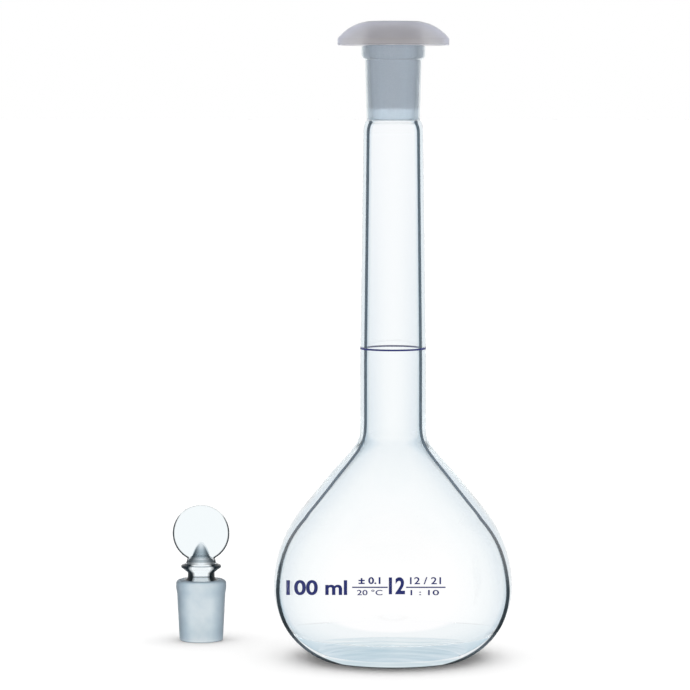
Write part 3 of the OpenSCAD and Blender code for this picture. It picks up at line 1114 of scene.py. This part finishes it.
# Rows are even up to the first height; from the second on they follow the disc's outline
EVEN_ROWS_Z = 28.0
ARC_Z = 28.1
turn = np.linspace(0, 2 * np.pi, AROUND, endpoint=False)
lift = np.linspace(np.arcsin((ARC_Z - DISC_Z) / DISC_R), np.pi / 2, 60)
rows = np.concatenate(
    (
        np.linspace(ROOT_FACE[0][0], EVEN_ROWS_Z, 70),
        DISC_Z + (DISC_R - 0.002) * np.sin(lift),
    )
)
flatness = np.interp(rows, (ROOT_FACE[0][0], 25.0, 28.8, SPARE_TOP), (1.0, 0.35, 0.22, 0.3))
across, along = np.cos(turn)[None, :], flatness[:, None] * np.sin(turn)[None, :]
way = np.stack(np.broadcast_arrays(across, along), axis=-1)
way = way / np.linalg.norm(way, axis=-1, keepdims=True)
height = np.broadcast_to(rows[:, None], way.shape[:2])
rho = head_radius(way, height)
head = np.stack((STAND[0] + rho * way[..., 0], STAND[1] + rho * way[..., 1], height), axis=-1)
spare = skin(
    "pressed_glass_stopper",
    np.concatenate((turned(body, AROUND, STAND), head)),
    "glass_stopper",
    low=0.0,
    high=SPARE_TOP,
)
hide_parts("glass_stopper")

PRESSED_IOR = 1.51
# The clear parts bend light less than real pressed glass does, and painted dark sides are
# mixed in instead: painted shade, set for looks.
CLEAR_IOR = 1.2
DARK_IOR = 1.15
SPARE_SHADE = 0.05
# Share of the normal's upward part by which a camera slightly above sees a face more squarely
LOOK_DOWN = 0.14


def upward(tree):
    """Output: upward part of the normal."""
    normal = node(tree, "ShaderNodeTexCoord").outputs["Normal"]
    return node(tree, "ShaderNodeSeparateXYZ", {0: normal}).outputs["Z"]


def level_part(tree, least):
    """Output: length of the level part of the normal; where the normal's upward part is under
    least, it counts as least."""
    return other_leg(tree, maths(tree, "MAXIMUM", upward(tree), least))


def solid_glass(tree, amount, colour):
    """Clear solid glass with, by amount, a dark glass mixed in: painted shade for the dark ends
    of the room bent into view; colour is an output or an sRGB hex."""
    clear = principled(tree, colour, 0.0, CLEAR_IOR, 1.0)
    dark = principled(tree, "#1b2830", 0.05, DARK_IOR)
    amount = maths(tree, "MULTIPLY", amount, entering(tree))
    shade_through(tree, mixed(tree, amount, clear, dark), SPARE_SHADE)


def beside(tree, start, span):
    """Output for waist, bead and root where the painted dark sides go: 0 in the middle and 1 at
    both sides, whatever the slope.
    The cosine, less what LOOK_DOWN adds to faces turned up, over the level part of the normal
    is that of the angle as seen from above."""
    added = maths(tree, "MULTIPLY", upward(tree), LOOK_DOWN)
    cosine = maths(tree, "SUBTRACT", cosine_seen(tree), added)
    level = maths(tree, "MAXIMUM", level_part(tree, -1.0), LEAST_LEVEL)
    level = maths(tree, "MINIMUM", maths(tree, "DIVIDE", cosine, level), 1.0)
    return rise(tree, other_leg(tree, level), start, span)


# Waist and bead: clear glass with painted dark sides.
STEM_SIDES = (0.46, 0.2)

stem_glass, tree = material("pressed_glass_stem")
solid_glass(tree, beside(tree, *STEM_SIDES), "#f2f8fb")

# Thumb disc: only its rounded rim is steep enough to be painted dark, least so at the top.
# Within the half width of the root, which a ramp holds by height as a share of ROOT_UNIT, it
# is root, painted dark at its sides and in painted light and dark bands by height.
RIM_STEEP = (0.66, 0.14)
RIM_THIN = (0.8, 0.6)
ROOT_SIDES = (0.2, 0.5)
ROOT_DARK = 0.86
ROOT_SOFT = 0.2
ROOT_LOW_Z = 20.0
ROOT_SPAN = 8.0
ROOT_UNIT = 5.0
ROOT_PAINTED_BANDS = [
    (0.5, "#c3ced5"),
    (1.1, "#eef6fb"),
    (1.45, "#77858e"),
    (1.95, "#74828b"),
    (2.3, "#b1c0c9"),
    (2.6, "#98a9b2"),
    (3.8, "#9cadb7"),
    (4.6, "#bac8d1"),
    (5.4, "#d6e0e6"),
]

head_glass, tree = material("pressed_glass_head")
steep = maths(tree, "MULTIPLY", sine_in_air(tree, 1.0), level_part(tree, 0.0))
thin = rise(tree, sine_in_air(tree, 1.0), *RIM_THIN)
rim = maths(tree, "MAXIMUM", rise(tree, steep, *RIM_STEEP), thin)
where = node(tree, "ShaderNodeSeparateXYZ", {0: node(tree, "ShaderNodeTexCoord").outputs["Object"]})
x = maths(tree, "SUBTRACT", maths(tree, "MULTIPLY", where.outputs["X"], 1 / MM), STAND[0])
x = maths(tree, "ABSOLUTE", x)
up_root = maths(tree, "SUBTRACT", height_mm(tree), ROOT_LOW_Z)
half = node(tree, "ShaderNodeValToRGB", {"Fac": maths(tree, "DIVIDE", up_root, ROOT_SPAN)})
for _ in ROOT_FACE[2:]:
    half.color_ramp.elements.new(0.5)
for e, (z, w) in zip(half.color_ramp.elements, ROOT_FACE):
    e.position = (z - ROOT_LOW_Z) / ROOT_SPAN
    e.color = (w / ROOT_UNIT, w / ROOT_UNIT, w / ROOT_UNIT, 1)
half = maths(tree, "MULTIPLY", half.outputs["Color"], ROOT_UNIT)
root = fall(tree, x, half, ROOT_SOFT)
sides = maths(tree, "MULTIPLY", beside(tree, *ROOT_SIDES), ROOT_DARK)
amount = node(tree, "ShaderNodeMix", {"Factor": root, "A": rim, "B": sides}).outputs[0]
painted_bands = ramp(tree, up_root, ROOT_SPAN, ROOT_PAINTED_BANDS)
solid_glass(tree, amount, blended(tree, root, "#f4fafc", painted_bands))

# The ground plug: frosted, in faint clouds left by the grinding. Its tint is painted darker
# towards its sides as painted shade, and by height it is lighter at the very bottom edge, a
# painted highlight, a little darker up to 3 mm and light again from 7 mm.
frosted, tree = material("pressed_glass_ground")
tint = ramp(
    tree,
    facing(tree),
    1.0,
    [(0.0, "#f1fafe"), (0.12, "#ebf7fd"), (0.3, "#c4d6e2"), (0.6, "#93a8b7"), (1.0, "#758b9a")],
)
cloud = clouds(tree, 3.5 * MM, 4.0, [(0.3, "#e9eff3"), (0.65, "#ffffff")])
low = ramp(
    tree,
    height_mm(tree),
    14.0,
    [(0.15, "#ffffff"), (0.7, "#e6ecf0"), (3.0, "#e9eff2"), (7.0, "#ffffff"), (14.0, "#f4f7f9")],
)
tint = multiplied(tree, multiplied(tree, tint, cloud), low)
shade_through(tree, principled(tree, tint, 0.5, PRESSED_IOR, 0.75), SPARE_SHADE)
for m in (stem_glass, frosted, head_glass):
    spare.data.materials.append(m)


def spare_slot(r, z, outward):
    """0 on waist and bead, 1 on the ground plug and its band, 2 on root and disc."""
    plug = (z < BAND_Z + 0.05) & (r > WAIST_R + WAIST_FILLET)
    return np.select([plug, z > ROOT_FACE[0][0] + 0.3], [1, 2], 0)


give_slots(spare, spare_slot, STAND)
